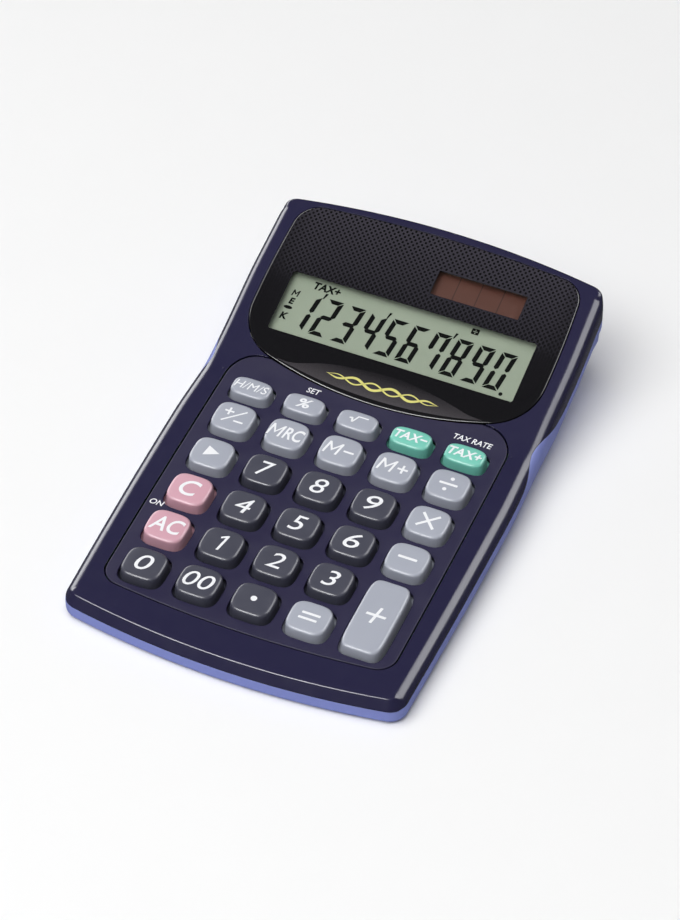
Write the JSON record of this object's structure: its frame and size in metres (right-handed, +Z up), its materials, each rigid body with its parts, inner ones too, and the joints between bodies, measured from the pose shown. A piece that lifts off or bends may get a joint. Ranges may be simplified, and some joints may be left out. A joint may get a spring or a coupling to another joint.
{
  "type": "desk calculator",
  "caption": "Splash-proof desk calculator with a raised, tilted display head, solar cell, and rows of rounded keys that press down.",
  "frame": {"origin": "on the surface the feet stand on, under the middle of the case", "axes": "+X to the user's right, +Y from the user towards the display, +Z up"},
  "size_m": [0.1076, 0.168, 0.0341],
  "materials": {
    "case_blue": "glossy dark blue moulded plastic",
    "case_periwinkle": "satin light blue moulded plastic",
    "panel_blue": "fine matt texture",
    "window": "glossy clear plastic, printed black behind",
    "black_tape": "matt foam tape",
    "lcd": "grey-green display glass under a matt polariser",
    "reflector": "pearly film",
    "white_plastic": "moulded",
    "ribbon": "amber film",
    "steel": "zinc plated",
    "solar": "brown cells behind glass",
    "grey_rubber": "silicone",
    "board": "green solder mask",
    "blob": "potting resin",
    "capacitor": "sleeved can",
    "resistor": "lacquer",
    "cell": "nickel plated",
    "contact": "spring strip",
    "leads": "insulated wire",
    "black_rubber": "matt",
    "key_grey": "satin",
    "key_dark": "satin",
    "key_pink": "satin",
    "key_green": "satin"
  },
  "bodies": {
    "case": {"upper_case": "case_blue", "lower_case": "case_periwinkle", "key_panel": "panel_blue", "display_window": "window", "window_tape": "black_tape", "lcd_glass": "lcd", "lcd_reflector": "reflector", "lcd_holder": "white_plastic", "lcd_ribbon": "ribbon", "holder_screws": "steel", "solar_cell": "solar", "solar_tape": "black_tape", "rubber_key_sheet": "grey_rubber", "circuit_board": "board", "processor_blob": "blob", "capacitors": "capacitor", "resistors": "resistor", "board_screws": "steel", "button_cell": "cell", "battery_contact_plus": "contact", "battery_contact_minus": "contact", "battery_leads": "leads", "solar_leads": "leads", "case_seal": "black_rubber", "case_screws": "steel", "feet": "black_rubber"},
    "key_hours_body": {"key_hours": "key_grey"},
    "key_percent_body": {"key_percent": "key_grey"},
    "key_root_body": {"key_root": "key_grey"},
    "key_tax_minus_body": {"key_tax_minus": "key_green"},
    "key_tax_plus_body": {"key_tax_plus": "key_green"},
    "key_sign_body": {"key_sign": "key_grey"},
    "key_memory_recall_body": {"key_memory_recall": "key_grey"},
    "key_memory_minus_body": {"key_memory_minus": "key_grey"},
    "key_memory_plus_body": {"key_memory_plus": "key_grey"},
    "key_divide_body": {"key_divide": "key_grey"},
    "key_backspace_body": {"key_backspace": "key_grey"},
    "key_7_body": {"key_7": "key_dark"},
    "key_8_body": {"key_8": "key_dark"},
    "key_9_body": {"key_9": "key_dark"},
    "key_multiply_body": {"key_multiply": "key_grey"},
    "key_clear_body": {"key_clear": "key_pink"},
    "key_4_body": {"key_4": "key_dark"},
    "key_5_body": {"key_5": "key_dark"},
    "key_6_body": {"key_6": "key_dark"},
    "key_minus_body": {"key_minus": "key_grey"},
    "key_all_clear_body": {"key_all_clear": "key_pink"},
    "key_1_body": {"key_1": "key_dark"},
    "key_2_body": {"key_2": "key_dark"},
    "key_3_body": {"key_3": "key_dark"},
    "key_plus_body": {"key_plus": "key_grey"},
    "key_0_body": {"key_0": "key_dark"},
    "key_00_body": {"key_00": "key_dark"},
    "key_point_body": {"key_point": "key_dark"},
    "key_equals_body": {"key_equals": "key_grey"}
  },
  "joints": [
    {"name": "press_hours", "type": "slide", "parent": "case", "child": "key_hours_body", "axis": [0, 0.0523, -0.9986], "range_m": [0, 0.0012], "stiffness_N_per_m": 500},
    {"name": "press_percent", "type": "slide", "parent": "case", "child": "key_percent_body", "axis": [0, 0.0523, -0.9986], "range_m": [0, 0.0012], "stiffness_N_per_m": 500},
    {"name": "press_root", "type": "slide", "parent": "case", "child": "key_root_body", "axis": [0, 0.0523, -0.9986], "range_m": [0, 0.0012], "stiffness_N_per_m": 500},
    {"name": "press_tax_minus", "type": "slide", "parent": "case", "child": "key_tax_minus_body", "axis": [0, 0.0523, -0.9986], "range_m": [0, 0.0012], "stiffness_N_per_m": 500},
    {"name": "press_tax_plus", "type": "slide", "parent": "case", "child": "key_tax_plus_body", "axis": [0, 0.0523, -0.9986], "range_m": [0, 0.0012], "stiffness_N_per_m": 500},
    {"name": "press_sign", "type": "slide", "parent": "case", "child": "key_sign_body", "axis": [0, 0.0523, -0.9986], "range_m": [0, 0.0012], "stiffness_N_per_m": 500},
    {"name": "press_memory_recall", "type": "slide", "parent": "case", "child": "key_memory_recall_body", "axis": [0, 0.0523, -0.9986], "range_m": [0, 0.0012], "stiffness_N_per_m": 500},
    {"name": "press_memory_minus", "type": "slide", "parent": "case", "child": "key_memory_minus_body", "axis": [0, 0.0523, -0.9986], "range_m": [0, 0.0012], "stiffness_N_per_m": 500},
    {"name": "press_memory_plus", "type": "slide", "parent": "case", "child": "key_memory_plus_body", "axis": [0, 0.0523, -0.9986], "range_m": [0, 0.0012], "stiffness_N_per_m": 500},
    {"name": "press_divide", "type": "slide", "parent": "case", "child": "key_divide_body", "axis": [0, 0.0523, -0.9986], "range_m": [0, 0.0012], "stiffness_N_per_m": 500},
    {"name": "press_backspace", "type": "slide", "parent": "case", "child": "key_backspace_body", "axis": [0, 0.0523, -0.9986], "range_m": [0, 0.0012], "stiffness_N_per_m": 500},
    {"name": "press_7", "type": "slide", "parent": "case", "child": "key_7_body", "axis": [0, 0.0523, -0.9986], "range_m": [0, 0.0012], "stiffness_N_per_m": 500},
    {"name": "press_8", "type": "slide", "parent": "case", "child": "key_8_body", "axis": [0, 0.0523, -0.9986], "range_m": [0, 0.0012], "stiffness_N_per_m": 500},
    {"name": "press_9", "type": "slide", "parent": "case", "child": "key_9_body", "axis": [0, 0.0523, -0.9986], "range_m": [0, 0.0012], "stiffness_N_per_m": 500},
    {"name": "press_multiply", "type": "slide", "parent": "case", "child": "key_multiply_body", "axis": [0, 0.0523, -0.9986], "range_m": [0, 0.0012], "stiffness_N_per_m": 500},
    {"name": "press_clear", "type": "slide", "parent": "case", "child": "key_clear_body", "axis": [0, 0.0523, -0.9986], "range_m": [0, 0.0012], "stiffness_N_per_m": 500},
    {"name": "press_4", "type": "slide", "parent": "case", "child": "key_4_body", "axis": [0, 0.0523, -0.9986], "range_m": [0, 0.0012], "stiffness_N_per_m": 500},
    {"name": "press_5", "type": "slide", "parent": "case", "child": "key_5_body", "axis": [0, 0.0523, -0.9986], "range_m": [0, 0.0012], "stiffness_N_per_m": 500},
    {"name": "press_6", "type": "slide", "parent": "case", "child": "key_6_body", "axis": [0, 0.0523, -0.9986], "range_m": [0, 0.0012], "stiffness_N_per_m": 500},
    {"name": "press_minus", "type": "slide", "parent": "case", "child": "key_minus_body", "axis": [0, 0.0523, -0.9986], "range_m": [0, 0.0012], "stiffness_N_per_m": 500},
    {"name": "press_all_clear", "type": "slide", "parent": "case", "child": "key_all_clear_body", "axis": [0, 0.0523, -0.9986], "range_m": [0, 0.0012], "stiffness_N_per_m": 500},
    {"name": "press_1", "type": "slide", "parent": "case", "child": "key_1_body", "axis": [0, 0.0523, -0.9986], "range_m": [0, 0.0012], "stiffness_N_per_m": 500},
    {"name": "press_2", "type": "slide", "parent": "case", "child": "key_2_body", "axis": [0, 0.0523, -0.9986], "range_m": [0, 0.0012], "stiffness_N_per_m": 500},
    {"name": "press_3", "type": "slide", "parent": "case", "child": "key_3_body", "axis": [0, 0.0523, -0.9986], "range_m": [0, 0.0012], "stiffness_N_per_m": 500},
    {"name": "press_plus", "type": "slide", "parent": "case", "child": "key_plus_body", "axis": [0, 0.0523, -0.9986], "range_m": [0, 0.0012], "stiffness_N_per_m": 500},
    {"name": "press_0", "type": "slide", "parent": "case", "child": "key_0_body", "axis": [0, 0.0523, -0.9986], "range_m": [0, 0.0012], "stiffness_N_per_m": 500},
    {"name": "press_00", "type": "slide", "parent": "case", "child": "key_00_body", "axis": [0, 0.0523, -0.9986], "range_m": [0, 0.0012], "stiffness_N_per_m": 500},
    {"name": "press_point", "type": "slide", "parent": "case", "child": "key_point_body", "axis": [0, 0.0523, -0.9986], "range_m": [0, 0.0012], "stiffness_N_per_m": 500},
    {"name": "press_equals", "type": "slide", "parent": "case", "child": "key_equals_body", "axis": [0, 0.0523, -0.9986], "range_m": [0, 0.0012], "stiffness_N_per_m": 500}
  ]
}
